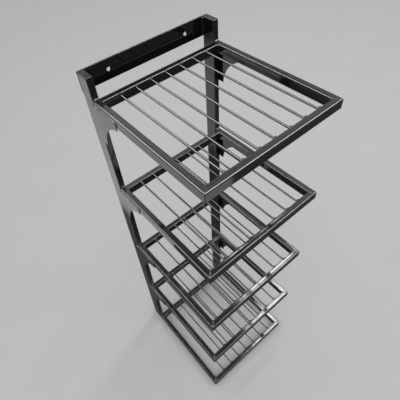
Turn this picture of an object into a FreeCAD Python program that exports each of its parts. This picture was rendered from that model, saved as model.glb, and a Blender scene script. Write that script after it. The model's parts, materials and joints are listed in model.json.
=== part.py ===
import FreeCAD, Part
import math
import os

# Five-tier welded steel rack. Two rectangular-tube uprights stand at the rear. Five
# square shelf frames of smaller tube are welded to their front faces, each with a deck
# of round rods. Gusset plates brace the four raised shelves, and a drilled flat bar
# joins the tops of the uprights across the back.
#
# Millimetres. +X is to the right, +Y to the rear and +Z up. The origin is on the
# ground, under the middle of the overall width and depth. Shelf 1 is the top one.

Vector = FreeCAD.Vector

# Driving dimensions: overall
WIDTH = 450.0
SHELF_DEPTH = 445.0
OVERALL_HEIGHT = 1475.0
SHELF_COUNT = 5
SHELF_PITCH = 345.0

# Tubes
RAIL_WIDTH = 20.0
RAIL_HEIGHT = 30.0
UPRIGHT_WIDTH = 20.0
UPRIGHT_DEPTH = 50.0
TUBE_WALL = 1.5
TUBE_CORNER_RADIUS = 3.0
MITRE_OVERRUN = 0.5

# Deck rods
ROD_COUNT = 7
ROD_DIAMETER = 6.0
ROD_TOP_BELOW_RAIL = 1.0

# Back plate and the closing plates of the uprights
PLATE_HEIGHT = 60.0
PLATE_THICKNESS = 4.0
PLATE_HOLE_DIAMETER = 12.0
PLATE_HOLE_SPACING = 270.0
CAP_THICKNESS = 3.0
CAP_INSET = 0.7
CAP_EDGE_RADIUS = 1.2

# Gussets, measured from the uprights' front plane and from the shelf's top
GUSSET_THICKNESS = 2.0
GUSSET_ON_UPRIGHT = 12.0
GUSSET_FORWARD = 110.0
GUSSET_TOP = 14.0
GUSSET_BOTTOM = 140.0
GUSSET_TOE_CHAMFER = 6.0
GUSSET_ARC_RADIUS = 116.0
GUSSET_ARC_FORWARD = 135.0
GUSSET_ARC_BELOW = 150.0

# Weld beads
BEAD_LEG = 4.0
CORNER_BEAD_LEG = 3.0
GUSSET_BEAD_LEG = 1.8
GUSSET_STITCH_LENGTH = 22.0
BEAD_CROWN = 0.6
ROD_TACK_RADIUS = 3.2

# Places that follow from them
HALF_WIDTH = WIDTH / 2
TOTAL_DEPTH = SHELF_DEPTH + UPRIGHT_DEPTH + PLATE_THICKNESS
FRONT = -TOTAL_DEPTH / 2
UPRIGHT_FRONT = FRONT + SHELF_DEPTH
UPRIGHT_REAR = UPRIGHT_FRONT + UPRIGHT_DEPTH
ROD_RADIUS = ROD_DIAMETER / 2
OPENING_FRONT = FRONT + RAIL_WIDTH
OPENING_REAR = UPRIGHT_FRONT - RAIL_WIDTH
OPENING_HALF_WIDTH = HALF_WIDTH - RAIL_WIDTH
INNER_FACE = HALF_WIDTH - UPRIGHT_WIDTH
SIDES = {"left": -1, "right": 1}
SHELVES = range(1, SHELF_COUNT + 1)
BRACED_SHELVES = range(1, SHELF_COUNT)


def shelf_top(number):
    """Height of a shelf's top. The lowest shelf stands on the ground."""
    return RAIL_HEIGHT + (SHELF_COUNT - number) * SHELF_PITCH


def rod_places():
    """X of each deck rod, evenly spaced across the opening between the side rails."""
    gap = 2 * OPENING_HALF_WIDTH / (ROD_COUNT + 1)
    return [-OPENING_HALF_WIDTH + gap * (index + 1) for index in range(ROD_COUNT)]


def block(low, high):
    """Solid box between two opposite corners."""
    size = high - low
    return Part.makeBox(size.x, size.y, size.z, low)


def prism(points, run):
    """Solid made by extruding a closed outline of straight sides along a vector."""
    outline = Part.makePolygon(points + [points[0]])
    return Part.Face(outline).extrude(run)


def edges_along(solid, direction):
    """Straight edges of a solid that run along a unit vector."""
    found = []
    for edge in solid.Edges:
        tangent = edge.tangentAt(edge.FirstParameter)
        if abs(tangent.dot(direction)) > 0.999:
            found.append(edge)
    return found


def tube(low, high, direction):
    """Hollow rectangular tube filling the box from low to high, open at both ends."""
    outside = block(low, high)
    outside = outside.makeFillet(TUBE_CORNER_RADIUS, edges_along(outside, direction))
    across = Vector(1, 1, 1) - direction
    margin = direction - across * TUBE_WALL
    inside = block(low - margin, high + margin)
    inside = inside.makeFillet(TUBE_CORNER_RADIUS - TUBE_WALL, edges_along(inside, direction))
    return outside.cut(inside)


def upright(side):
    """Tube from the ground to the underside of its closing plate."""
    centre = side * (HALF_WIDTH - UPRIGHT_WIDTH / 2)
    low = Vector(centre - UPRIGHT_WIDTH / 2, UPRIGHT_FRONT, 0)
    high = Vector(centre + UPRIGHT_WIDTH / 2, UPRIGHT_REAR, OVERALL_HEIGHT - CAP_THICKNESS)
    return tube(low, high, Vector(0, 0, 1))


def upright_cap(side):
    """Closing plate on top of an upright, a little smaller than the tube, edges rounded."""
    up = Vector(0, 0, 1)
    centre = side * (HALF_WIDTH - UPRIGHT_WIDTH / 2)
    half = UPRIGHT_WIDTH / 2 - CAP_INSET
    low = Vector(centre - half, UPRIGHT_FRONT + CAP_INSET, OVERALL_HEIGHT - CAP_THICKNESS)
    high = Vector(centre + half, UPRIGHT_REAR - CAP_INSET, OVERALL_HEIGHT)
    plate = block(low, high)
    plate = plate.makeFillet(TUBE_CORNER_RADIUS - CAP_INSET, edges_along(plate, up))
    upper = []
    for edge in plate.Edges:
        if edge.CenterOfMass.z > OVERALL_HEIGHT - CAP_THICKNESS / 2:
            upper.append(edge)
    return plate.makeFillet(CAP_EDGE_RADIUS, upper)


def back_plate():
    """Flat bar lapped across the rear faces of the uprights, with two fixing holes."""
    low = Vector(-HALF_WIDTH, UPRIGHT_REAR, OVERALL_HEIGHT - PLATE_HEIGHT)
    high = Vector(HALF_WIDTH, UPRIGHT_REAR + PLATE_THICKNESS, OVERALL_HEIGHT)
    plate = block(low, high)
    for side in SIDES.values():
        middle = OVERALL_HEIGHT - PLATE_HEIGHT / 2
        start = Vector(side * PLATE_HOLE_SPACING / 2, UPRIGHT_REAR - 1, middle)
        drill = Part.makeCylinder(
            PLATE_HOLE_DIAMETER / 2, PLATE_THICKNESS + 2, start, Vector(0, 1, 0)
        )
        plate = plate.cut(drill)
    return plate


def mitre_wedge(outer, inner, low, high):
    """Solid between two mitre cuts. Each cut runs through one outer and one inner corner."""
    pairs = list(zip(outer, inner))
    outside = [corner + (corner - near) * MITRE_OVERRUN for corner, near in pairs]
    inside = [near + (near - corner) * MITRE_OVERRUN for corner, near in pairs]
    plan = [outside[0], outside[1], inside[1], inside[0]]
    points = [Vector(point.x, point.y, low) for point in plan]
    return prism(points, Vector(0, 0, high - low))


def shelf_rails(top):
    """The four mitred tubes of one shelf frame, by name."""
    bottom = top - RAIL_HEIGHT
    outer = [
        Vector(-HALF_WIDTH, FRONT, 0),
        Vector(HALF_WIDTH, FRONT, 0),
        Vector(HALF_WIDTH, UPRIGHT_FRONT, 0),
        Vector(-HALF_WIDTH, UPRIGHT_FRONT, 0),
    ]
    inner = [
        Vector(-OPENING_HALF_WIDTH, OPENING_FRONT, 0),
        Vector(OPENING_HALF_WIDTH, OPENING_FRONT, 0),
        Vector(OPENING_HALF_WIDTH, OPENING_REAR, 0),
        Vector(-OPENING_HALF_WIDTH, OPENING_REAR, 0),
    ]
    rails = {}
    for index, name in enumerate(["front", "right", "rear", "left"]):
        ends = [index, (index + 1) % 4]
        corners = [outer[ends[0]], outer[ends[1]], inner[ends[0]], inner[ends[1]]]
        low = Vector(min(c.x for c in corners), min(c.y for c in corners), bottom)
        high = Vector(max(c.x for c in corners), max(c.y for c in corners), top)
        along_x = name in ("front", "rear")
        direction = Vector(1, 0, 0) if along_x else Vector(0, 1, 0)
        wedge = mitre_wedge(
            [outer[end] for end in ends], [inner[end] for end in ends], bottom - 1, top + 1
        )
        rails[name] = tube(low, high, direction).common(wedge)
    return rails


def shelf_rods(top):
    """The deck rods of one shelf, butted between the front and rear rails."""
    height = top - ROD_TOP_BELOW_RAIL - ROD_RADIUS
    length = OPENING_REAR - OPENING_FRONT
    rods = []
    for place in rod_places():
        start = Vector(place, OPENING_FRONT, height)
        rods.append(Part.makeCylinder(ROD_RADIUS, length, start, Vector(0, 1, 0)))
    return Part.makeCompound(rods)


def gusset(side, top):
    """Plate on the outer faces of a side rail and an upright, with a concave free edge."""
    face = side * HALF_WIDTH
    rear = UPRIGHT_FRONT + GUSSET_ON_UPRIGHT
    front = UPRIGHT_FRONT - GUSSET_FORWARD
    upper = top - GUSSET_TOP
    lower = top - GUSSET_BOTTOM
    centre = Vector(face, UPRIGHT_FRONT - GUSSET_ARC_FORWARD, top - GUSSET_ARC_BELOW)
    toe_reach = math.sqrt(GUSSET_ARC_RADIUS ** 2 - (front - centre.y) ** 2)
    leg_reach = math.sqrt(GUSSET_ARC_RADIUS ** 2 - (lower - centre.z) ** 2)
    bend = GUSSET_ARC_RADIUS * math.sqrt(0.5)
    arc_low = Vector(face, centre.y + leg_reach, lower)
    arc_middle = Vector(face, centre.y + bend, centre.z + bend)
    arc_high = Vector(face, front, centre.z + toe_reach)
    straight = [
        arc_high,
        Vector(face, front, upper - GUSSET_TOE_CHAMFER),
        Vector(face, front + GUSSET_TOE_CHAMFER, upper),
        Vector(face, rear, upper),
        Vector(face, rear, lower),
        arc_low,
    ]
    edges = [Part.makeLine(a, b) for a, b in zip(straight, straight[1:])]
    edges.append(Part.Arc(arc_low, arc_middle, arc_high).toShape())
    outline = Part.Face(Part.Wire(edges))
    return outline.extrude(Vector(side * GUSSET_THICKNESS, 0, 0))


def fillet_bead(corner, first, second, run):
    """Weld bead along an inside corner. It has two flat legs and a crowned free face."""
    one = corner + first
    other = corner + second
    outward = (first + second).normalize()
    crown = (one + other) * 0.5 + outward * BEAD_CROWN
    edges = [
        Part.makeLine(corner, one),
        Part.Arc(one, crown, other).toShape(),
        Part.makeLine(other, corner),
    ]
    return Part.Face(Part.Wire(edges)).extrude(run)


def shelf_corner_welds(top):
    """Vertical bead inside each mitred corner of one shelf frame."""
    start = top - RAIL_HEIGHT + TUBE_CORNER_RADIUS
    run = Vector(0, 0, RAIL_HEIGHT - 2 * TUBE_CORNER_RADIUS)
    beads = []
    for side in SIDES.values():
        for place, inward in ((OPENING_FRONT, 1), (OPENING_REAR, -1)):
            corner = Vector(side * OPENING_HALF_WIDTH, place, start)
            across = Vector(-side * CORNER_BEAD_LEG, 0, 0)
            along = Vector(0, inward * CORNER_BEAD_LEG, 0)
            beads.append(fillet_bead(corner, across, along, run))
    return Part.makeCompound(beads)


def rod_tack(place, face, inward, height):
    """Weld tack beside a rod's end: part of a ball against the rail and the rod."""
    centre = Vector(place + ROD_RADIUS, face, height)
    ball = Part.makeSphere(ROD_TACK_RADIUS, centre)
    reach = 2 * ROD_TACK_RADIUS
    rail_side = min(face, face - inward * reach)
    low = Vector(centre.x - reach, rail_side, height - reach)
    high = Vector(centre.x + reach, rail_side + reach, height + reach)
    rod = Part.makeCylinder(
        ROD_RADIUS, 2 * reach, Vector(place, face - reach, height), Vector(0, 1, 0)
    )
    return ball.cut(block(low, high)).cut(rod)


def shelf_rod_welds(top):
    """One tack at each end of every deck rod."""
    height = top - ROD_TOP_BELOW_RAIL - ROD_RADIUS
    tacks = []
    for place in rod_places():
        tacks.append(rod_tack(place, OPENING_FRONT, 1, height))
        tacks.append(rod_tack(place, OPENING_REAR, -1, height))
    return Part.makeCompound(tacks)


def shelf_upright_welds(top):
    """Beads that hold one shelf's rear rail to the two uprights."""
    bottom = top - RAIL_HEIGHT
    beads = []
    for side in SIDES.values():
        outer_end = side * (HALF_WIDTH - TUBE_CORNER_RADIUS)
        across = Vector(-side * (UPRIGHT_WIDTH - 2 * TUBE_CORNER_RADIUS), 0, 0)
        forward = Vector(0, -BEAD_LEG, 0)
        above = Vector(outer_end, UPRIGHT_FRONT, top)
        beads.append(fillet_bead(above, forward, Vector(0, 0, BEAD_LEG), across))
        if bottom > 0:
            below = Vector(outer_end, UPRIGHT_FRONT, bottom)
            beads.append(fillet_bead(below, forward, Vector(0, 0, -BEAD_LEG), across))
        inside = Vector(side * INNER_FACE, UPRIGHT_FRONT, bottom + TUBE_CORNER_RADIUS)
        inward = Vector(-side * BEAD_LEG, 0, 0)
        rearward = Vector(0, BEAD_LEG, 0)
        rise = Vector(0, 0, RAIL_HEIGHT - 2 * TUBE_CORNER_RADIUS)
        beads.append(fillet_bead(inside, inward, rearward, rise))
    return Part.makeCompound(beads)


def plate_welds():
    """Vertical bead between the back plate and the inner face of each upright."""
    rise = Vector(0, 0, PLATE_HEIGHT - CAP_THICKNESS)
    beads = []
    for side in SIDES.values():
        corner = Vector(side * INNER_FACE, UPRIGHT_REAR, OVERALL_HEIGHT - PLATE_HEIGHT)
        inward = Vector(-side * BEAD_LEG, 0, 0)
        beads.append(fillet_bead(corner, inward, Vector(0, -BEAD_LEG, 0), rise))
    return Part.makeCompound(beads)


def gusset_welds(side):
    """Stitch beads along the top and rear edges of the four gussets on one side."""
    face = side * HALF_WIDTH
    outward = Vector(side * GUSSET_BEAD_LEG, 0, 0)
    up = Vector(0, 0, GUSSET_BEAD_LEG)
    back = Vector(0, GUSSET_BEAD_LEG, 0)
    rear = UPRIGHT_FRONT + GUSSET_ON_UPRIGHT
    front = UPRIGHT_FRONT - GUSSET_FORWARD + GUSSET_TOE_CHAMFER
    beads = []
    for number in BRACED_SHELVES:
        upper = shelf_top(number) - GUSSET_TOP
        lower = shelf_top(number) - GUSSET_BOTTOM
        along = Vector(0, GUSSET_STITCH_LENGTH, 0)
        rise = Vector(0, 0, GUSSET_STITCH_LENGTH)
        for start in (front, UPRIGHT_FRONT - GUSSET_STITCH_LENGTH):
            beads.append(fillet_bead(Vector(face, start, upper), outward, up, along))
        for start in (lower, upper - GUSSET_STITCH_LENGTH):
            beads.append(fillet_bead(Vector(face, rear, start), outward, back, rise))
    return Part.makeCompound(beads)


def all_parts():
    """Every sub-part of the rack, by node name."""
    parts = {"back_plate": back_plate(), "plate_welds": plate_welds()}
    for name, side in SIDES.items():
        parts["upright_" + name] = upright(side)
        parts["upright_cap_" + name] = upright_cap(side)
        parts["gusset_welds_" + name] = gusset_welds(side)
        for number in BRACED_SHELVES:
            parts[f"gusset_{number}_{name}"] = gusset(side, shelf_top(number))
    for number in SHELVES:
        top = shelf_top(number)
        for name, rail in shelf_rails(top).items():
            parts[f"shelf_{number}_{name}_rail"] = rail
        parts[f"shelf_{number}_rods"] = shelf_rods(top)
        parts[f"shelf_{number}_corner_welds"] = shelf_corner_welds(top)
        parts[f"shelf_{number}_rod_welds"] = shelf_rod_welds(top)
        parts[f"shelf_{number}_upright_welds"] = shelf_upright_welds(top)
    return parts


def main():
    os.makedirs("parts", exist_ok=True)
    for name, shape in all_parts().items():
        shape.exportStep(os.path.join("parts", name + ".step"))


main()
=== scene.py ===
import json
import math
import random

import bmesh
import bpy
from mathutils import Matrix, Vector, noise


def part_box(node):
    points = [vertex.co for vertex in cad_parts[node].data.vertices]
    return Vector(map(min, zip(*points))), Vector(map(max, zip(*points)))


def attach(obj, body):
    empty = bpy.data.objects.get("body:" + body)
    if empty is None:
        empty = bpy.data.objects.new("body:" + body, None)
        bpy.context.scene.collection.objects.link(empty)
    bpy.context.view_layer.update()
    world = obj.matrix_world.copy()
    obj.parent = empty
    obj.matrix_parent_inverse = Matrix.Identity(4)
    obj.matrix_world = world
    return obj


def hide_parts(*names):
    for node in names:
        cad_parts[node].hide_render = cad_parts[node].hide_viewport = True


# A five-tier welded steel rack in gloss black enamel. Each CAD node is replaced by a mesh
# of the same size and place that adds what a fabricator leaves: rolled tube corners,
# slightly hollow tube faces, dressed mitres, rippled weld beads and rounded plate edges.
# Metres. +X right, +Y to the rear, +Z up. Shelf 1 is the top one.

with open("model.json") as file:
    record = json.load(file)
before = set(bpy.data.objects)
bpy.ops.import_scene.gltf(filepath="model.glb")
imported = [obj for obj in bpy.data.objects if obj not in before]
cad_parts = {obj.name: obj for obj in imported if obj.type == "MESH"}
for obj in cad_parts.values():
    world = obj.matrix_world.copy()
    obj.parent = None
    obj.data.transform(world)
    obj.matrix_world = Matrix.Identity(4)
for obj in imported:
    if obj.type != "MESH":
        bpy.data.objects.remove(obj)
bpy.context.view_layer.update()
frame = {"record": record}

MM = 0.001
SHELF_COUNT = 5
BRACED_SHELVES = range(1, SHELF_COUNT)
SHELVES = range(1, SHELF_COUNT + 1)
SIDES = {"left": -1, "right": 1}

X = Vector((1, 0, 0))
Y = Vector((0, 1, 0))
Z = Vector((0, 0, 1))

# Sections of the steel, as in the CAD model
TUBE_CORNER = 3.0 * MM
TUBE_WALL = 1.5 * MM
ROD_RADIUS = 3.0 * MM
ROD_COUNT = 7
PLATE_HOLE_RADIUS = 6.0 * MM
GUSSET_CHAMFER = 6.0 * MM
GUSSET_ARC_RADIUS = 116.0 * MM
GUSSET_ARC_BEFORE = 25.0 * MM
GUSSET_ARC_BELOW = 10.0 * MM

# What hand work leaves
FACE_HOLLOW = 0.18 * MM
MITRE_GAP = 0.12 * MM
MITRE_BEVEL = 0.25 * MM
RAIL_MIDDLE_RINGS = 14
UPRIGHT_RINGS = 60
CORNER_DRESSING = 2.0 * MM
PLATE_EDGE = 0.5 * MM
GUSSET_EDGE = 0.25 * MM
BEAD_LEG = 4.2 * MM
CORNER_BEAD_LEG = 3.0 * MM
STITCH_LEG = 1.6 * MM
STITCH_LENGTH = 22.0 * MM
RIPPLE_PITCH = 2.3 * MM
ROOT_DEPTH = 2.4 * MM
SHALLOW_ROOT = 0.25 * MM
BEAD_STEP = 0.42 * MM
SEAM_STEP = 1.2 * MM
SEAM_RISE = 0.14 * MM
SEAM_SUNK = 0.03 * MM
CORNER_SEAM_WIDTH = 5.0 * MM
UPRIGHT_SEAM_WIDTH = 7.0 * MM
SPATTER_AWAY = 9 * MM
ROD_REACH = 0.6 * MM
CAP_EDGE = 1.1 * MM
CAP_CORNER = 2.3 * MM
BAR_NIP = 0.8 * MM


# ---------------------------------------------------------------------------- mesh helpers

class Shape:
    """Points, faces and an edge-wear value for each point, gathered into one mesh."""

    def __init__(self):
        self.points = []
        self.faces = []
        self.wear = []

    def add(self, points, faces, wear=0.0):
        first = len(self.points)
        self.points += [Vector(p) for p in points]
        self.faces += [[first + i for i in face] for face in faces]
        values = wear if isinstance(wear, list) else [wear] * len(points)
        self.wear += values

    def loft(self, rings, wear=0.0, closed_ends=True):
        """Joins closed rings of equal length with quads, with a flat cap at each end."""
        count = len(rings[0])
        points = [p for ring in rings for p in ring]
        faces = []
        for r in range(len(rings) - 1):
            for i in range(count):
                j = (i + 1) % count
                faces.append([r * count + i, r * count + j, (r + 1) * count + j, (r + 1) * count + i])
        if closed_ends:
            last = (len(rings) - 1) * count
            faces.append(list(range(count))[::-1])
            faces.append([last + i for i in range(count)])
        values = wear * len(rings) if isinstance(wear, list) else wear
        self.add(points, faces, values)

    def mesh(self, name):
        mesh = bpy.data.meshes.new(name)
        mesh.from_pydata([tuple(p) for p in self.points], [], self.faces)
        attribute = mesh.attributes.new("edge_wear", "FLOAT", "POINT")
        attribute.data.foreach_set("value", self.wear)
        mesh.update()
        return mesh


def outward(mesh):
    """Turns every closed island's faces outward."""
    bm = bmesh.new()
    bm.from_mesh(mesh)
    bmesh.ops.recalc_face_normals(bm, faces=bm.faces)
    bm.to_mesh(mesh)
    bm.free()


def piece(name, shape, material, replaced, sharp=40.0, weighted=True):
    """Makes the shown piece for some CAD nodes from a Shape or a ready mesh."""
    mesh = shape.mesh(name) if isinstance(shape, Shape) else shape
    outward(mesh)
    for polygon in mesh.polygons:
        polygon.use_smooth = True
    mesh.set_sharp_from_angle(angle=math.radians(sharp))
    mesh.materials.append(material)
    made = bpy.data.objects.new(name, mesh)
    bpy.context.scene.collection.objects.link(made)
    if weighted:
        normals = made.modifiers.new("weighted_normals", "WEIGHTED_NORMAL")
        normals.keep_sharp = True
    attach(made, "root")
    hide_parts(*replaced)
    return made


def centre_of(low, high):
    return (low + high) / 2


# ---------------------------------------------------------------------------- materials

def node_maker(owner):
    """An emptied node tree of a material or world, and a function that adds nodes to it."""
    owner.use_nodes = True
    tree = owner.node_tree
    tree.nodes.clear()

    def make(kind, **values):
        made = tree.nodes.new(kind)
        for key, value in values.items():
            if hasattr(made, key):
                setattr(made, key, value)
            else:
                made.inputs[key.replace("_", " ")].default_value = value
        return made

    return tree, make


def noise_node(make, tree, coordinates, scale, detail=3.0, roughness=0.5):
    made = make("ShaderNodeTexNoise")
    made.inputs["Scale"].default_value = scale
    made.inputs["Detail"].default_value = detail
    made.inputs["Roughness"].default_value = roughness
    tree.links.new(coordinates, made.inputs["Vector"])
    return made.outputs["Fac"]


def ranged(make, tree, value, low, high, to_low, to_high):
    made = make("ShaderNodeMapRange")
    made.inputs["From Min"].default_value = low
    made.inputs["From Max"].default_value = high
    made.inputs["To Min"].default_value = to_low
    made.inputs["To Max"].default_value = to_high
    tree.links.new(value, made.inputs["Value"])
    return made.outputs["Result"]


def arithmetic(make, tree, operation, first, second):
    made = make("ShaderNodeMath", operation=operation)
    for socket, value in zip(made.inputs, (first, second)):
        if isinstance(value, float):
            socket.default_value = value
        else:
            tree.links.new(value, socket)
    return made.outputs[0]


def mixed_colour(make, tree, factor, first, second):
    made = make("ShaderNodeMix", data_type="RGBA")
    tree.links.new(factor, made.inputs["Factor"])
    for socket, value in ((made.inputs["A"], first), (made.inputs["B"], second)):
        if isinstance(value, tuple):
            socket.default_value = value + (1.0,)
        else:
            tree.links.new(value, socket)
    return made.outputs["Result"]


def bump(make, tree, height, distance, strength=1.0, under=None):
    made = make("ShaderNodeBump")
    made.inputs["Distance"].default_value = distance
    made.inputs["Strength"].default_value = strength
    tree.links.new(height, made.inputs["Height"])
    if under is not None:
        tree.links.new(under, made.inputs["Normal"])
    return made.outputs["Normal"]


def edge_wear(make, tree, cloudy):
    """How far the paint has drawn back from the edges, in broken stretches."""
    edge = make("ShaderNodeAttribute", attribute_name="edge_wear").outputs["Fac"]
    broken = ranged(make, tree, cloudy, 0.42, 0.62, 0.15, 1.0)
    return arithmetic(make, tree, "MULTIPLY", edge, broken)


def settled_dust(make, tree, place, cloudy, dust):
    """Patches of dust on the faces that look up."""
    specks = noise_node(make, tree, place, 1500.0, 1.0)
    facing = make("ShaderNodeSeparateXYZ")
    tree.links.new(make("ShaderNodeNewGeometry").outputs["Normal"], facing.inputs[0])
    upward = ranged(make, tree, facing.outputs["Z"], 0.75, 1.0, 0.0, 1.0)
    grains = ranged(make, tree, specks, 0.55, 0.75, 0.2, 1.0)
    settled = arithmetic(make, tree, "MULTIPLY", upward, grains)
    patchy = ranged(make, tree, cloudy, 0.35, 0.7, 0.2, 1.0)
    dusty = arithmetic(make, tree, "MULTIPLY", settled, patchy)
    return arithmetic(make, tree, "MULTIPLY", dusty, dust)


def enamel(name, body, thin, gloss, peel, ripple_scale, dust):
    """Gloss black enamel sprayed on steel.

    body and thin are the paint's colour where it is thick and where it has drawn back
    from an edge, gloss is its mean roughness, peel is the height of its orange peel,
    ripple_scale sets the size of the metal's slow waves and dust how much settles on top.
    """
    material = bpy.data.materials.new(name)
    tree, make = node_maker(material)
    place = make("ShaderNodeTexCoord").outputs["Object"]
    slow = noise_node(make, tree, place, 9.0, 2.0)
    cloudy = noise_node(make, tree, place, 55.0, 4.0, 0.6)
    fine = noise_node(make, tree, place, 520.0, 2.0)
    worn = edge_wear(make, tree, cloudy)
    dusty = settled_dust(make, tree, place, cloudy, dust)

    shade = ranged(make, tree, slow, 0.3, 0.7, 0.0, 1.0)
    warmer = tuple(c * k for c, k in zip(body, (1.35, 1.28, 1.15)))
    colour = mixed_colour(make, tree, shade, body, warmer)
    colour = mixed_colour(make, tree, worn, colour, thin)
    colour = mixed_colour(make, tree, dusty, colour, (0.32, 0.31, 0.29))

    rough = ranged(make, tree, cloudy, 0.3, 0.7, gloss * 0.8, gloss * 1.25)
    rougher = arithmetic(make, tree, "MULTIPLY", worn, 0.10)
    rough = arithmetic(make, tree, "ADD", rough, rougher)
    dull = arithmetic(make, tree, "MULTIPLY", dusty, 0.8)
    rough = arithmetic(make, tree, "ADD", rough, dull)

    waves = noise_node(make, tree, place, ripple_scale, 1.0)
    normal = bump(make, tree, waves, 0.22 * MM)
    normal = bump(make, tree, fine, peel, 1.0, normal)

    shader = make("ShaderNodeBsdfPrincipled")
    shader.inputs["IOR"].default_value = 1.5
    tree.links.new(colour, shader.inputs["Base Color"])
    tree.links.new(rough, shader.inputs["Roughness"])
    tree.links.new(normal, shader.inputs["Normal"])
    output = make("ShaderNodeOutputMaterial")
    tree.links.new(shader.outputs[0], output.inputs["Surface"])
    return material


THICK_PAINT = (0.0045, 0.0047, 0.0054)
WELD_BODY = (0.0042, 0.0044, 0.0050)
FRAME_PAINT = enamel(
    "frame_enamel", THICK_PAINT, (0.022, 0.021, 0.020), 0.085, 0.004 * MM, 18.0, 0.035
)
ROD_PAINT = enamel(
    "rod_enamel", THICK_PAINT, (0.018, 0.018, 0.018), 0.10, 0.003 * MM, 40.0, 0.02
)
WELD_PAINT = enamel(
    "weld_enamel", WELD_BODY, (0.02, 0.02, 0.02), 0.20, 0.006 * MM, 90.0, 0.02
)


# ---------------------------------------------------------------------------- tubes

def rounded_outline(width, height, radius, corner_steps=5, flat_steps=4):
    """Rounded rectangle as (across, up, wear, hollow) points. hollow is the unit inward
    direction times how far a face dips there, so that faces sink between the corners."""
    corners = [
        (radius, radius, 180),
        (width - radius, radius, 270),
        (width - radius, height - radius, 0),
        (radius, height - radius, 90),
    ]
    inward = [Vector((0, 1)), Vector((-1, 0)), Vector((0, -1)), Vector((1, 0))]
    points = []
    for index, (across, up, start) in enumerate(corners):
        for step in range(corner_steps + 1):
            angle = math.radians(start + 90 * step / corner_steps)
            point = Vector((across + radius * math.cos(angle), up + radius * math.sin(angle)))
            points.append((point, 1.0, Vector((0, 0))))
        next_across, next_up, next_start = corners[(index + 1) % 4]
        angle = math.radians(next_start)
        target = Vector((next_across, next_up)) + radius * Vector((math.cos(angle), math.sin(angle)))
        begin = points[-1][0]
        for step in range(1, flat_steps):
            t = step / flat_steps
            dip = 1 - (2 * t - 1) ** 2
            points.append((begin.lerp(target, t), 0.0, inward[index] * dip))
    return points


def rail_stations():
    """Where a rail's rings lie: distances from an end, or shares of the length between."""
    from_end = [0.0, 0.35 * MM, *(CORNER_DRESSING * k for k in (0.5, 0.75, 1, 2))]
    inner = [(k + 1) / (RAIL_MIDDLE_RINGS + 1) for k in range(RAIL_MIDDLE_RINGS)]
    stations = [("start", value) for value in from_end]
    stations += [("middle", value) for value in inner]
    stations += [("end", value) for value in reversed(from_end)]
    return stations, from_end[-1]


def dressed(along, across, near_outside):
    """Rounds off the outer corner of a mitre as a grinder does."""
    radius = CORNER_DRESSING
    flat = radius * (1 - math.sqrt(0.5))
    if near_outside < flat:
        return max(along, flat), max(across, flat)
    if along < radius:
        across = max(across, radius - math.sqrt(radius**2 - (radius - along) ** 2))
    return along, across


def rail_shape(length, width, height, seed):
    """Mitred rail along +X. Across runs inward from the outer face, and up is +Z."""
    outline = rounded_outline(width, height, TUBE_CORNER)
    stations, last_offset = rail_stations()
    middle = Vector((width / 2, height / 2))
    rings = []
    for index, (where, value) in enumerate(stations):
        ring = []
        for point, _, dip in outline:
            across, up = point
            if where == "middle":
                low = across + last_offset
                along = low + (length - 2 * low) * value
            else:
                along = across + value
            from_start = length - along if where == "end" else along
            wave = noise.noise(Vector((from_start * 14, seed, up * 9)))
            sunk = dip * FACE_HOLLOW * (1 + 0.8 * wave)
            across, up = across + sunk.x, up + sunk.y
            if where != "middle":
                along, across = dressed(along, across, value)
            if index in (0, len(stations) - 1):
                inward = middle - Vector((across, up))
                across, up = Vector((across, up)) + inward.normalized() * MITRE_BEVEL
                along += MITRE_GAP
            if where == "end":
                along = length - along
            ring.append(Vector((along, across, up)))
        rings.append(ring)
    shape = Shape()
    shape.loft(rings, [wear for _, wear, _ in outline])
    return shape


def placed(shape, origin, along, across, up):
    """Carries a shape from its own axes to a place in the rack."""
    shape.points = [origin + along * p.x + across * p.y + up * p.z for p in shape.points]
    return shape


def make_rails(number):
    """The four mitred rails of one shelf, each in place of its CAD node."""
    low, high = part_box(f"shelf_{number}_front_rail")
    left_low, left_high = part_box(f"shelf_{number}_left_rail")
    bottom, height = low.z, high.z - low.z
    width, depth = high.x - low.x, left_high.y - left_low.y
    thick = high.y - low.y
    front, rear = left_low.y, left_high.y
    layout = {
        "front": (Vector((low.x, front, bottom)), X, Y, width),
        "right": (Vector((high.x, front, bottom)), Y, -X, depth),
        "rear": (Vector((high.x, rear, bottom)), -X, -Y, width),
        "left": (Vector((low.x, rear, bottom)), -Y, X, depth),
    }
    for index, (name, (origin, along, across, length)) in enumerate(layout.items()):
        shape = rail_shape(length, thick, height, number * 7 + index)
        placed(shape, origin, along, across, Z)
        node = f"shelf_{number}_{name}_rail"
        piece(node + "_tube", shape, FRAME_PAINT, [node])


def make_upright(name, side):
    """Tall tube, open at the foot, with a wall of real thickness."""
    node = "upright_" + name
    low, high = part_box(node)
    size = high - low
    outline = rounded_outline(size.x, size.y, TUBE_CORNER, 5, 6)
    shape = Shape()
    rings = []
    for step in range(UPRIGHT_RINGS + 1):
        height = size.z * step / UPRIGHT_RINGS
        ring = []
        for point, wear, dip in outline:
            wave = noise.noise(Vector((height * 9, side * 5, point.x * 30 + point.y * 9)))
            sunk = point + dip * FACE_HOLLOW * (1 + 0.8 * wave)
            ring.append(low + Vector((sunk.x, sunk.y, height)))
        rings.append(ring)
    inner_radius = TUBE_CORNER - TUBE_WALL
    inner = rounded_outline(size.x - 2 * TUBE_WALL, size.y - 2 * TUBE_WALL, inner_radius, 5, 6)
    base = low + Vector((TUBE_WALL, TUBE_WALL, 0))
    inside = [[base + Vector((p.x, p.y, z)) for p, _, _ in inner] for z in (size.z, 0.0)]
    shape.loft(rings + inside + [rings[0]], [wear for _, wear, _ in outline], closed_ends=False)
    piece(node + "_tube", shape, FRAME_PAINT, [node])


# ---------------------------------------------------------------------------- rods

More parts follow.
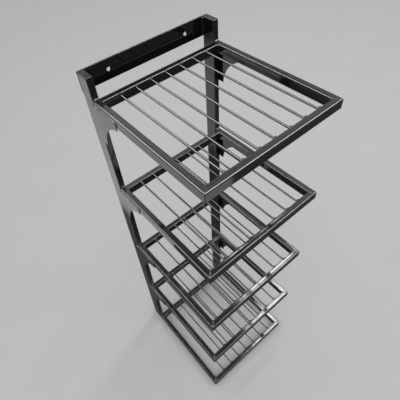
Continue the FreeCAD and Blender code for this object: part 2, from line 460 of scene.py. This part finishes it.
def make_rods(number):
    """Deck rods with the slight bow that welding leaves."""
    node = f"shelf_{number}_rods"
    low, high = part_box(node)
    shape = Shape()
    draw = random.Random(node)
    for index in range(ROD_COUNT):
        x = low.x + ROD_RADIUS + (high.x - low.x - 2 * ROD_RADIUS) * index / (ROD_COUNT - 1)
        z = (low.z + high.z) / 2
        bow = Vector((draw.uniform(-0.5, 0.5), 0, draw.uniform(-0.5, 0.1))) * MM
        rings = []
        for step in range(17):
            t = step / 16
            centre = Vector((x, low.y - ROD_REACH + (high.y - low.y + 2 * ROD_REACH) * t, z))
            centre += bow * math.sin(math.pi * t)
            ring = []
            for k in range(20):
                angle = 2 * math.pi * k / 20
                ring.append(centre + (X * math.cos(angle) + Z * math.sin(angle)) * ROD_RADIUS)
            rings.append(ring)
        shape.loft(rings)
    piece(node + "_set", shape, ROD_PAINT, [node], weighted=False)


# ---------------------------------------------------------------------------- weld beads

def ripple(along, angle, seed):
    """Height of the crescent ripples on a bead, from 0 to 1, at a place along and round it."""
    lead = 0.45 * math.sin(2 * angle)
    turns = along / RIPPLE_PITCH + lead + 0.5 * noise.noise(Vector((along * 150, seed, 0)))
    phase = turns - math.floor(turns)
    return math.sqrt(max(0.0, 1 - (2 * phase - 1) ** 2))


def add_bead(shape, corner, first, second, run, leg, seed, root=None):
    """Hand-laid fillet bead in an inside corner. first and second are unit vectors along
    the two faces, away from the corner, and run is the bead's full length. root reaches
    from the corner into the groove that a rounded tube leaves behind it."""
    root = root or (first + second) * -SHALLOW_ROOT
    length = run.length
    direction = run.normalized()
    steps = max(8, int(length / BEAD_STEP))
    round_end = leg * 0.8
    around = 9
    rings = []
    for step in range(steps + 1):
        along = length * step / steps
        near_end = min(along, length - along)
        swell = math.sqrt(max(0.03, 1 - (1 - min(1.0, near_end / round_end)) ** 2))
        wander = 1 + 0.10 * noise.noise(Vector((along * 90, seed * 3.1, 1.7)))
        centre = corner + direction * along
        ring = [centre + root]
        for k in range(around):
            angle = math.radians(-6 + 102 * k / (around - 1))
            flat = 1 / (max(0.2, math.cos(angle)) + max(0.0, math.sin(angle)))
            flat = min(1.0, flat) if 0 < angle < math.pi / 2 else 1.0
            crown = flat + (1 - flat) * 0.62
            radius = leg * swell * wander * crown * (0.97 + 0.03 * ripple(along, angle, seed))
            ring.append(centre + (first * math.cos(angle) + second * math.sin(angle)) * radius)
        rings.append(ring)
    shape.loft(rings, 0.25)


def add_blob(shape, centre, radii, seed, rough=0.12):
    """Rounded lump of weld metal with an uneven skin."""
    bm = bmesh.new()
    bmesh.ops.create_icosphere(bm, subdivisions=3, radius=1.0)
    points = []
    for vert in bm.verts:
        swell = 1 + rough * noise.noise(vert.co * 1.7 + Vector((seed, seed * 0.7, 0)))
        points.append(centre + Vector(c * r * swell for c, r in zip(vert.co, radii)))
    faces = [[v.index for v in face.verts] for face in bm.faces]
    bm.free()
    shape.add(points, faces, 0.2)


def add_spatter(shape, draw, around, normal, spread, count):
    """Small beads of spatter stuck to a face near a weld."""
    side = normal.orthogonal().normalized()
    other = normal.cross(side)
    for _ in range(count):
        place = around + side * draw.gauss(0, spread) + other * draw.gauss(0, spread)
        size = draw.uniform(0.25, 0.55) * MM
        add_blob(shape, place, (size, size, size), draw.random() * 9, 0.05)


def add_dressed_seam(shape, start, end, normal, width, seed, root=SHALLOW_ROOT):
    """Weld ground down almost flush along a joint line: a low, uneven, rounded strip that
    fills the joint down to its root."""
    along = end - start
    length = along.length
    across = normal.cross(along).normalized()
    steps = max(6, int(length / SEAM_STEP))
    rings = []
    for step in range(steps + 1):
        t = step / steps
        centre = start + along * t
        taper = min(1.0, 0.35 + 4 * min(t, 1 - t))
        low = 1 + 0.35 * noise.noise(Vector((t * length * 160, seed, 0)))
        high = 1 + 0.35 * noise.noise(Vector((t * length * 160, seed, 5)))
        ring = []
        for k in range(9):
            angle = math.pi * k / 8
            reach = width / 2 * taper * (low if k < 4 else high)
            rise = SEAM_RISE * math.sin(angle) * (0.8 + 0.4 * low)
            ring.append(centre + across * reach * math.cos(angle) + normal * (rise - SEAM_SUNK))
        ring.append(centre - normal * root)
        rings.append(ring)
    shape.loft(rings, 0.15)


def shelf_sizes(number):
    """Where one shelf's faces lie: outer and inner edges of its frame, top and bottom."""
    low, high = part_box(f"shelf_{number}_front_rail")
    _, left_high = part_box(f"shelf_{number}_left_rail")
    thick = high.y - low.y
    return {
        "half": high.x,
        "inner_half": high.x - thick,
        "front": low.y,
        "inner_front": low.y + thick,
        "rear": left_high.y,
        "inner_rear": left_high.y - thick,
        "bottom": low.z,
        "top": high.z,
    }


def make_corner_welds(number):
    """Inside beads and dressed seams at the four mitres of one shelf."""
    node = f"shelf_{number}_corner_welds"
    at = shelf_sizes(number)
    shape = Shape()
    draw = random.Random(node)
    edge = TUBE_CORNER
    for side in SIDES.values():
        for outer, inner, inward in (("front", "inner_front", 1), ("rear", "inner_rear", -1)):
            seed = draw.random() * 50
            corner = Vector((side * at["inner_half"], at[inner], at["bottom"] + edge * 0.6))
            run = Z * (at["top"] - at["bottom"] - 1.2 * edge)
            add_bead(shape, corner, X * -side, Y * inward, run, CORNER_BEAD_LEG, seed)
            out = Vector((side * at["half"], at[outer], 0))
            near = Vector((side * at["inner_half"], at[inner], 0))
            inset = (near - out).normalized()
            for height, normal in ((at["top"], Z), (at["bottom"], -Z)):
                lift = Z * height
                start = out + inset * (edge * 1.4) + lift
                end = near - inset * (edge * 0.9) + lift
                add_dressed_seam(shape, start, end, normal, CORNER_SEAM_WIDTH, seed + height)
    piece(node + "_beads", shape, WELD_PAINT, [node])


def make_rod_welds(number):
    """Tacks where the deck rods meet the front and rear rails."""
    node = f"shelf_{number}_rod_welds"
    at = shelf_sizes(number)
    low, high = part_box(f"shelf_{number}_rods")
    shape = Shape()
    draw = random.Random(node)
    for index in range(ROD_COUNT):
        x = low.x + ROD_RADIUS + (high.x - low.x - 2 * ROD_RADIUS) * index / (ROD_COUNT - 1)
        for name, inward in (("inner_front", 1), ("inner_rear", -1)):
            long = draw.uniform(4.0, 5.6) * MM if inward > 0 else draw.uniform(2.6, 3.2) * MM
            offset = long * 0.75 + draw.uniform(-0.6, 0.6) * MM
            centre = Vector((x + offset, at[name] + inward * 0.9 * MM, at["top"] - 1.0 * MM))
            radii = (long, draw.uniform(2.2, 2.7) * MM, draw.uniform(1.9, 2.3) * MM)
            add_blob(shape, centre, radii, draw.random() * 50)
            under = Vector((x, at[name] + inward * 0.2 * MM, high.z - 5.2 * MM))
            add_blob(shape, under, (3.3 * MM, 1.6 * MM, 1.9 * MM), draw.random() * 50)
    piece(node + "_tacks", shape, WELD_PAINT, [node])


def make_upright_welds(number):
    """Beads that hold one shelf to the uprights: over, under and inside."""
    node = f"shelf_{number}_upright_welds"
    at = shelf_sizes(number)
    low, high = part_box("upright_right")
    width = high.x - low.x
    shape = Shape()
    draw = random.Random(node)
    for side in SIDES.values():
        seed = draw.random() * 50
        outer = side * (high.x - TUBE_CORNER * 0.6)
        run = X * -side * (width - 1.2 * TUBE_CORNER)
        over = Vector((outer, at["rear"], at["top"]))
        add_bead(shape, over, -Y, Z, run, BEAD_LEG, seed, -Z * ROOT_DEPTH)
        add_spatter(shape, draw, over + run / 2 - Y * SPATTER_AWAY, Z, 6 * MM, 4)
        if number < SHELF_COUNT:
            under = Vector((outer, at["rear"], at["bottom"]))
            add_bead(shape, under, -Y, -Z, run, BEAD_LEG, seed + 1, Z * ROOT_DEPTH)
        inside = Vector((side * low.x, at["rear"], at["bottom"] + TUBE_CORNER * 0.8))
        rise = Z * (at["top"] - at["bottom"] - 1.6 * TUBE_CORNER)
        add_bead(shape, inside, X * -side, Y, rise, BEAD_LEG, seed + 2, X * side * ROOT_DEPTH)
        seam = Vector((side * high.x, at["rear"], at["bottom"] + TUBE_CORNER))
        rise = Z * (at["top"] - at["bottom"] - 1.5 * TUBE_CORNER)
        add_dressed_seam(shape, seam, seam + rise, X * side, UPRIGHT_SEAM_WIDTH, seed + 3, ROOT_DEPTH)
    piece(node + "_beads", shape, WELD_PAINT, [node])


def make_plate_welds():
    """Beads down the inside of each upright, against the back plate."""
    plate_low, plate_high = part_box("back_plate")
    low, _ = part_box("upright_right")
    shape = Shape()
    draw = random.Random("plate_welds")
    for side in SIDES.values():
        corner = Vector((side * low.x, plate_low.y, plate_low.z + 1 * MM))
        run = Z * (plate_high.z - plate_low.z - 4 * MM)
        seed = draw.random() * 50
        add_bead(shape, corner, X * -side, -Y, run, BEAD_LEG, seed, X * side * ROOT_DEPTH)
        near = corner + run / 2 - X * side * SPATTER_AWAY
        add_spatter(shape, draw, near, -Y, 7 * MM, 5)
    piece("plate_weld_beads", shape, WELD_PAINT, ["plate_welds"])


def make_gusset_welds(name, side):
    """Stitch beads along the top and rear edges of the gussets on one side."""
    shape = Shape()
    draw = random.Random("gusset_welds_" + name)
    for number in BRACED_SHELVES:
        low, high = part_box(f"gusset_{number}_{name}")
        face = side * min(abs(low.x), abs(high.x))
        run_back = Y * STITCH_LENGTH
        rise = Z * STITCH_LENGTH
        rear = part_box("upright_right")[0].y
        for start in (low.y + GUSSET_CHAMFER, rear - STITCH_LENGTH):
            corner = Vector((face, start, high.z))
            add_bead(shape, corner, X * side, Z, run_back, STITCH_LEG, draw.random() * 50)
        for start in (low.z, high.z - STITCH_LENGTH):
            corner = Vector((face, high.y, start))
            add_bead(shape, corner, X * side, Y, rise, STITCH_LEG, draw.random() * 50)
    node = "gusset_welds_" + name
    piece(node + "_beads", shape, WELD_PAINT, [node])


# ---------------------------------------------------------------------------- plates

def flat_plate(name, outlines, thickness, edge):
    """Plate with rounded edges from closed outlines. The first is its rim and the others
    are holes. It lies in its own XY plane, centred on its thickness."""
    curve = bpy.data.curves.new(name + "_outline", "CURVE")
    curve.dimensions = "2D"
    curve.fill_mode = "BOTH"
    curve.extrude = thickness / 2 - edge
    curve.bevel_depth = edge
    curve.bevel_resolution = 2
    curve.offset = -edge
    for outline in outlines:
        spline = curve.splines.new("POLY")
        spline.points.add(len(outline) - 1)
        for point, (u, v) in zip(spline.points, outline):
            point.co = (u, v, 0, 1)
        spline.use_cyclic_u = True
    holder = bpy.data.objects.new(name + "_holder", curve)
    bpy.context.scene.collection.objects.link(holder)
    bpy.context.view_layer.update()
    graph = bpy.context.evaluated_depsgraph_get()
    mesh = bpy.data.meshes.new_from_object(holder.evaluated_get(graph))
    bpy.data.objects.remove(holder)
    bm = bmesh.new()
    bm.from_mesh(mesh)
    bmesh.ops.remove_doubles(bm, verts=bm.verts, dist=0.01 * MM)
    bm.to_mesh(mesh)
    bm.free()
    mesh.name = name
    wear = mesh.attributes.new("edge_wear", "FLOAT", "POINT")
    flat = thickness / 2 - 0.05 * MM
    wear.data.foreach_set("value", [0.0 if abs(v.co.z) > flat else 1.0 for v in mesh.vertices])
    return mesh


def circle(u, v, radius, count=48):
    turn = 2 * math.pi / count
    return [(u + radius * math.cos(turn * k), v + radius * math.sin(turn * k)) for k in range(count)]


def make_back_plate():
    """Drilled flat bar across the back."""
    low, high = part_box("back_plate")
    holes = next(m for m in frame["record"]["mounts"] if m["name"] == "wall_holes")
    spacing = holes["dims"]["spacing_x_mm"] * MM
    half = (high.x - low.x) / 2
    tall = (high.z - low.z) / 2
    nip = BAR_NIP
    rim = [
        (-half + nip, -tall), (half - nip, -tall), (half, -tall + nip), (half, tall - nip),
        (half - nip, tall), (-half + nip, tall), (-half, tall - nip), (-half, -tall + nip),
    ]
    drilled = [circle(side * spacing / 2, 0, PLATE_HOLE_RADIUS) for side in SIDES.values()]
    mesh = flat_plate("back_plate_bar", [rim] + drilled, high.y - low.y, PLATE_EDGE)
    centre = centre_of(low, high)
    stand = Matrix(((1, 0, 0, centre.x), (0, 0, -1, centre.y), (0, 1, 0, centre.z), (0, 0, 0, 1)))
    mesh.transform(stand)
    piece("back_plate_bar", mesh, FRAME_PAINT, ["back_plate"])


def make_gusset(number, name):
    """Gusset with a concave free edge, its rim slightly rounded."""
    node = f"gusset_{number}_{name}"
    low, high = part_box(node)
    deep, tall = high.y - low.y, high.z - low.z
    first = math.asin(GUSSET_ARC_BELOW / GUSSET_ARC_RADIUS)
    last = math.acos(GUSSET_ARC_BEFORE / GUSSET_ARC_RADIUS)
    arc = []
    for step in range(25):
        angle = first + (last - first) * step / 24
        forward = GUSSET_ARC_RADIUS * math.cos(angle) - GUSSET_ARC_BEFORE
        arc.append((forward, GUSSET_ARC_RADIUS * math.sin(angle) - GUSSET_ARC_BELOW))
    rim = [*arc, (0, tall - GUSSET_CHAMFER), (GUSSET_CHAMFER, tall), (deep, tall), (deep, 0)]
    mesh = flat_plate(node + "_plate", [rim], high.x - low.x, GUSSET_EDGE)
    x = (low.x + high.x) / 2
    mesh.transform(Matrix(((0, 0, 1, x), (1, 0, 0, low.y), (0, 1, 0, low.z), (0, 0, 0, 1))))
    piece(node + "_plate", mesh, FRAME_PAINT, [node])


def make_cap(name):
    """Closing plate on an upright, welded round and roughly dressed."""
    node = "upright_cap_" + name
    low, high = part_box(node)
    size = high - low
    centre = centre_of(low, high)
    shape = Shape()
    heights = [(0.0, 0.8 * MM), (0.7 * MM, 0.0), (size.z - CAP_EDGE, 0.0)]
    for step in range(1, 6):
        angle = math.radians(90 * step / 5)
        height = size.z - CAP_EDGE * (1 - math.sin(angle))
        heights.append((height, CAP_EDGE * (1 - math.cos(angle))))
    rings = []
    for height, inset in heights:
        outline = rounded_outline(size.x - 2 * inset, size.y - 2 * inset, CAP_CORNER, 4, 6)
        ring = []
        for point, _, _ in outline:
            place = Vector((low.x + inset + point.x, low.y + inset + point.y, low.z + height))
            uneven = 0.12 * MM * noise.noise(place * 160)
            ring.append(place + (place - centre).normalized() * min(0.0, uneven))
        rings.append(ring)
    shape.loft(rings, [0.6] * len(rings[0]))
    piece(node + "_plate", shape, FRAME_PAINT, [node])


# ---------------------------------------------------------------------------- the rack

for shelf in SHELVES:
    make_rails(shelf)
    make_rods(shelf)
    make_corner_welds(shelf)
    make_rod_welds(shelf)
    make_upright_welds(shelf)
for side_name, side_sign in SIDES.items():
    make_upright(side_name, side_sign)
    make_cap(side_name)
    make_gusset_welds(side_name, side_sign)
    for shelf in BRACED_SHELVES:
        make_gusset(shelf, side_name)
make_back_plate()
make_plate_welds()


# ---------------------------------------------------------------------------- the stage

def floor_material():
    material = bpy.data.materials.new("pale_floor")
    tree, make = node_maker(material)
    place = make("ShaderNodeTexCoord").outputs["Object"]
    mottled = noise_node(make, tree, place, 3.0, 4.0)
    colour = mixed_colour(make, tree, mottled, (0.52, 0.495, 0.46), (0.55, 0.525, 0.49))
    shader = make("ShaderNodeBsdfPrincipled")
    shader.inputs["Roughness"].default_value = 0.85
    shader.inputs["Specular IOR Level"].default_value = 0.0
    tree.links.new(colour, shader.inputs["Base Color"])
    output = make("ShaderNodeOutputMaterial")
    tree.links.new(shader.outputs[0], output.inputs["Surface"])
    return material


FLOOR_PATCH = 6.0
FLOOR_REACH = 2000.0


def make_floor():
    """Flat ground out to the horizon, in a ring round a patch that holds the rack. Gloss
    doesn't mirror it: the world's dark lower half shows there in its place."""
    reaches = (FLOOR_PATCH, FLOOR_REACH)
    turns = ((-1, -1), (1, -1), (1, 1), (-1, 1))
    corners = [(x * reach, y * reach, 0) for reach in reaches for x, y in turns]
    faces = [(0, 1, 2, 3)] + [(k, k + 4, (k + 1) % 4 + 4, (k + 1) % 4) for k in range(4)]
    mesh = bpy.data.meshes.new("floor")
    mesh.from_pydata(corners, [], faces)
    mesh.materials.append(floor_material())
    floor = bpy.data.objects.new("floor", mesh)
    floor.visible_glossy = False
    bpy.context.scene.collection.objects.link(floor)


def make_softbox(name, place, aim, size, radiance, shines=True):
    """Evenly glowing rectangle. Radiance is how bright it looks beside a dome of 1. One
    that doesn't shine is only seen as a reflection, like a card beside a product."""
    light = bpy.data.lights.new(name, "AREA")
    light.shape = "RECTANGLE"
    light.size, light.size_y = size
    light.energy = radiance * size[0] * size[1] * math.pi
    made = bpy.data.objects.new(name, light)
    made.location = place
    made.rotation_euler = (Vector(aim) - Vector(place)).to_track_quat("-Z", "Y").to_euler()
    made.visible_camera = False
    made.visible_diffuse = shines
    bpy.context.scene.collection.objects.link(made)


# How bright and what colour the dome is at each height, from the sine of the elevation.
# Its lowest stop is all that lies well under the horizon, which only shows in the gloss.
DOME = (
    (-0.045, (0.130, 0.135, 0.125)),
    (-0.040, (0.60, 0.60, 0.59)),
    (0.25, (0.45, 0.47, 0.50)),
    (0.50, (0.54, 0.57, 0.62)),
    (0.56, (1.45, 1.55, 1.72)),
    (0.73, (1.45, 1.55, 1.72)),
    (0.84, (0.55, 0.60, 0.66)),
    (0.92, (0.34, 0.36, 0.39)),
)


def dome_colour(make, tree, height):
    """The dome's colour at each height, from its stops."""
    lowest = DOME[0][0]
    ramp = make("ShaderNodeValToRGB")
    stops = ramp.color_ramp.elements
    for sine, colour in DOME:
        stop = stops.new((sine - lowest) / (1 - lowest))
        stop.color = colour + (1.0,)
    stops.remove(stops[-1])
    stops.remove(stops[0])
    share = ranged(make, tree, height, lowest, 1.0, 0.0, 1.0)
    tree.links.new(share, ramp.inputs["Fac"])
    return ramp.outputs["Color"]


def cloud_strength(make, tree, direction, height):
    """Even light low down, which turns to soft clouds higher up."""
    clouds = noise_node(make, tree, direction, 3.2, 2.0)
    patchy = ranged(make, tree, clouds, 0.35, 0.65, 0.65, 1.30)
    strength = make("ShaderNodeMix")
    strength.inputs["A"].default_value = 1.0
    tree.links.new(ranged(make, tree, height, 0.30, 0.55, 0.0, 1.0), strength.inputs["Factor"])
    tree.links.new(patchy, strength.inputs["B"])
    return strength.outputs["Result"]


def make_world():
    """Studio dome, brightest in a band part of the way up."""
    world = bpy.data.worlds.new("studio")
    tree, make = node_maker(world)
    direction = make("ShaderNodeTexCoord").outputs["Generated"]
    parts = make("ShaderNodeSeparateXYZ")
    tree.links.new(direction, parts.inputs[0])
    height = parts.outputs["Z"]
    background = make("ShaderNodeBackground")
    output = make("ShaderNodeOutputWorld")
    tree.links.new(dome_colour(make, tree, height), background.inputs["Color"])
    strength = cloud_strength(make, tree, direction, height)
    tree.links.new(strength, background.inputs["Strength"])
    tree.links.new(background.outputs[0], output.inputs["Surface"])
    bpy.context.scene.world = world


CAMERA_PLACE = Vector((-0.5193, -0.6143, 1.9546))
CAMERA_TARGET = Vector((-0.1012, 0.0, 1.1226))
CAMERA_ROLL = math.radians(-6.816)


def make_camera():
    """Camera high at the rack's front left, looking steeply down."""
    camera = bpy.data.cameras.new("camera")
    camera.sensor_width = 36.0
    camera.lens = 32.946
    camera.shift_x = 0.0385
    camera.shift_y = -0.0249
    camera.clip_start = 0.01
    made = bpy.data.objects.new("camera", camera)
    look = (CAMERA_TARGET - CAMERA_PLACE).to_track_quat("-Z", "Y").to_matrix().to_4x4()
    turned = look @ Matrix.Rotation(CAMERA_ROLL, 4, "Z")
    made.matrix_world = Matrix.Translation(CAMERA_PLACE) @ turned
    bpy.context.scene.collection.objects.link(made)
    bpy.context.scene.camera = made


make_floor()
make_world()
make_softbox("key", (1.80, 0.80, 4.50), (1.80, 0.80, 0.0), (1.10, 0.42), 21.0)
make_softbox("strip_right", (0.83, -0.55, 2.50), (0.83, -0.55, 0.0), (1.40, 1.10), 14.0, False)
make_softbox("strip_rear", (-0.62, 1.00, 2.50), (-0.62, 1.00, 0.0), (1.10, 1.50), 15.0, False)
make_softbox("low_rear_left", (-1.05, 1.75, 0.02), (-1.05, 1.75, 1.0), (1.10, 2.50), 0.80, False)
make_softbox("low_front", (0.30, -1.32, 0.02), (0.30, -1.32, 1.0), (0.90, 0.70), 0.85, False)
make_softbox("overhead", (-1.2, -1.5, 4.5), (0.0, 0.0, 0.5), (3.0, 3.0), 1.2)
make_camera()
bpy.context.scene.view_settings.view_transform = "Standard"
